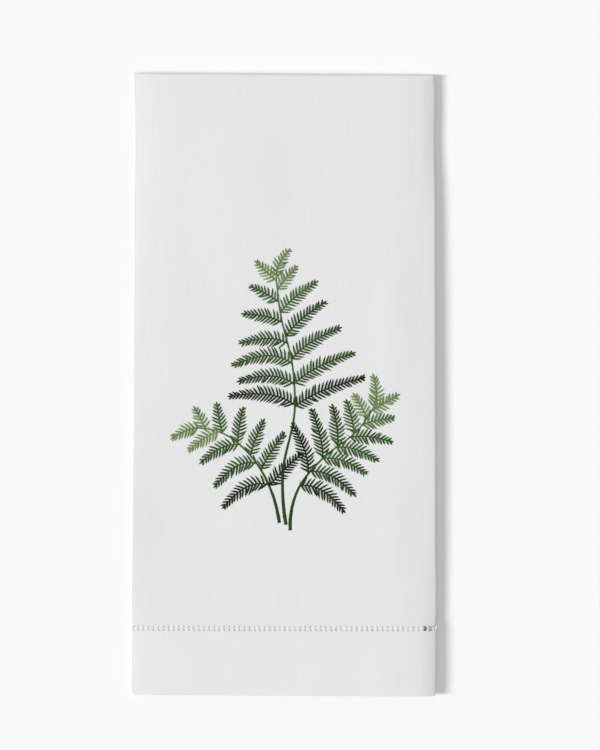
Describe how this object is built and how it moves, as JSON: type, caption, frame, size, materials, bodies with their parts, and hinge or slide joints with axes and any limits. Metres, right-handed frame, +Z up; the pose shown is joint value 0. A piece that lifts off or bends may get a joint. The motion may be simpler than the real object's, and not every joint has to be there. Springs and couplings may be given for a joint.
{
  "type": "folded hand towel",
  "caption": "White cloth hand towel folded in thirds and then in half, with a deep hem, a ladder hemstitch and green leaf embroidery; for drying hands.",
  "frame": {"origin": "middle of the folded towel's box in plan, on the surface that it lies on", "axes": "+Y along the folded towel to its top fold, +X across it to the wider long fold, +Z up out of the face that shows"},
  "size_m": [0.1738, 0.3562, 0.0093],
  "materials": {
    "cloth": "matt plain weave, white",
    "sewing_thread": "matt twisted thread, white",
    "embroidery_thread": "soft sheen twisted thread, greens"
  },
  "bodies": {
    "root": {"towel": "cloth"}
  },
  "joints": []
}
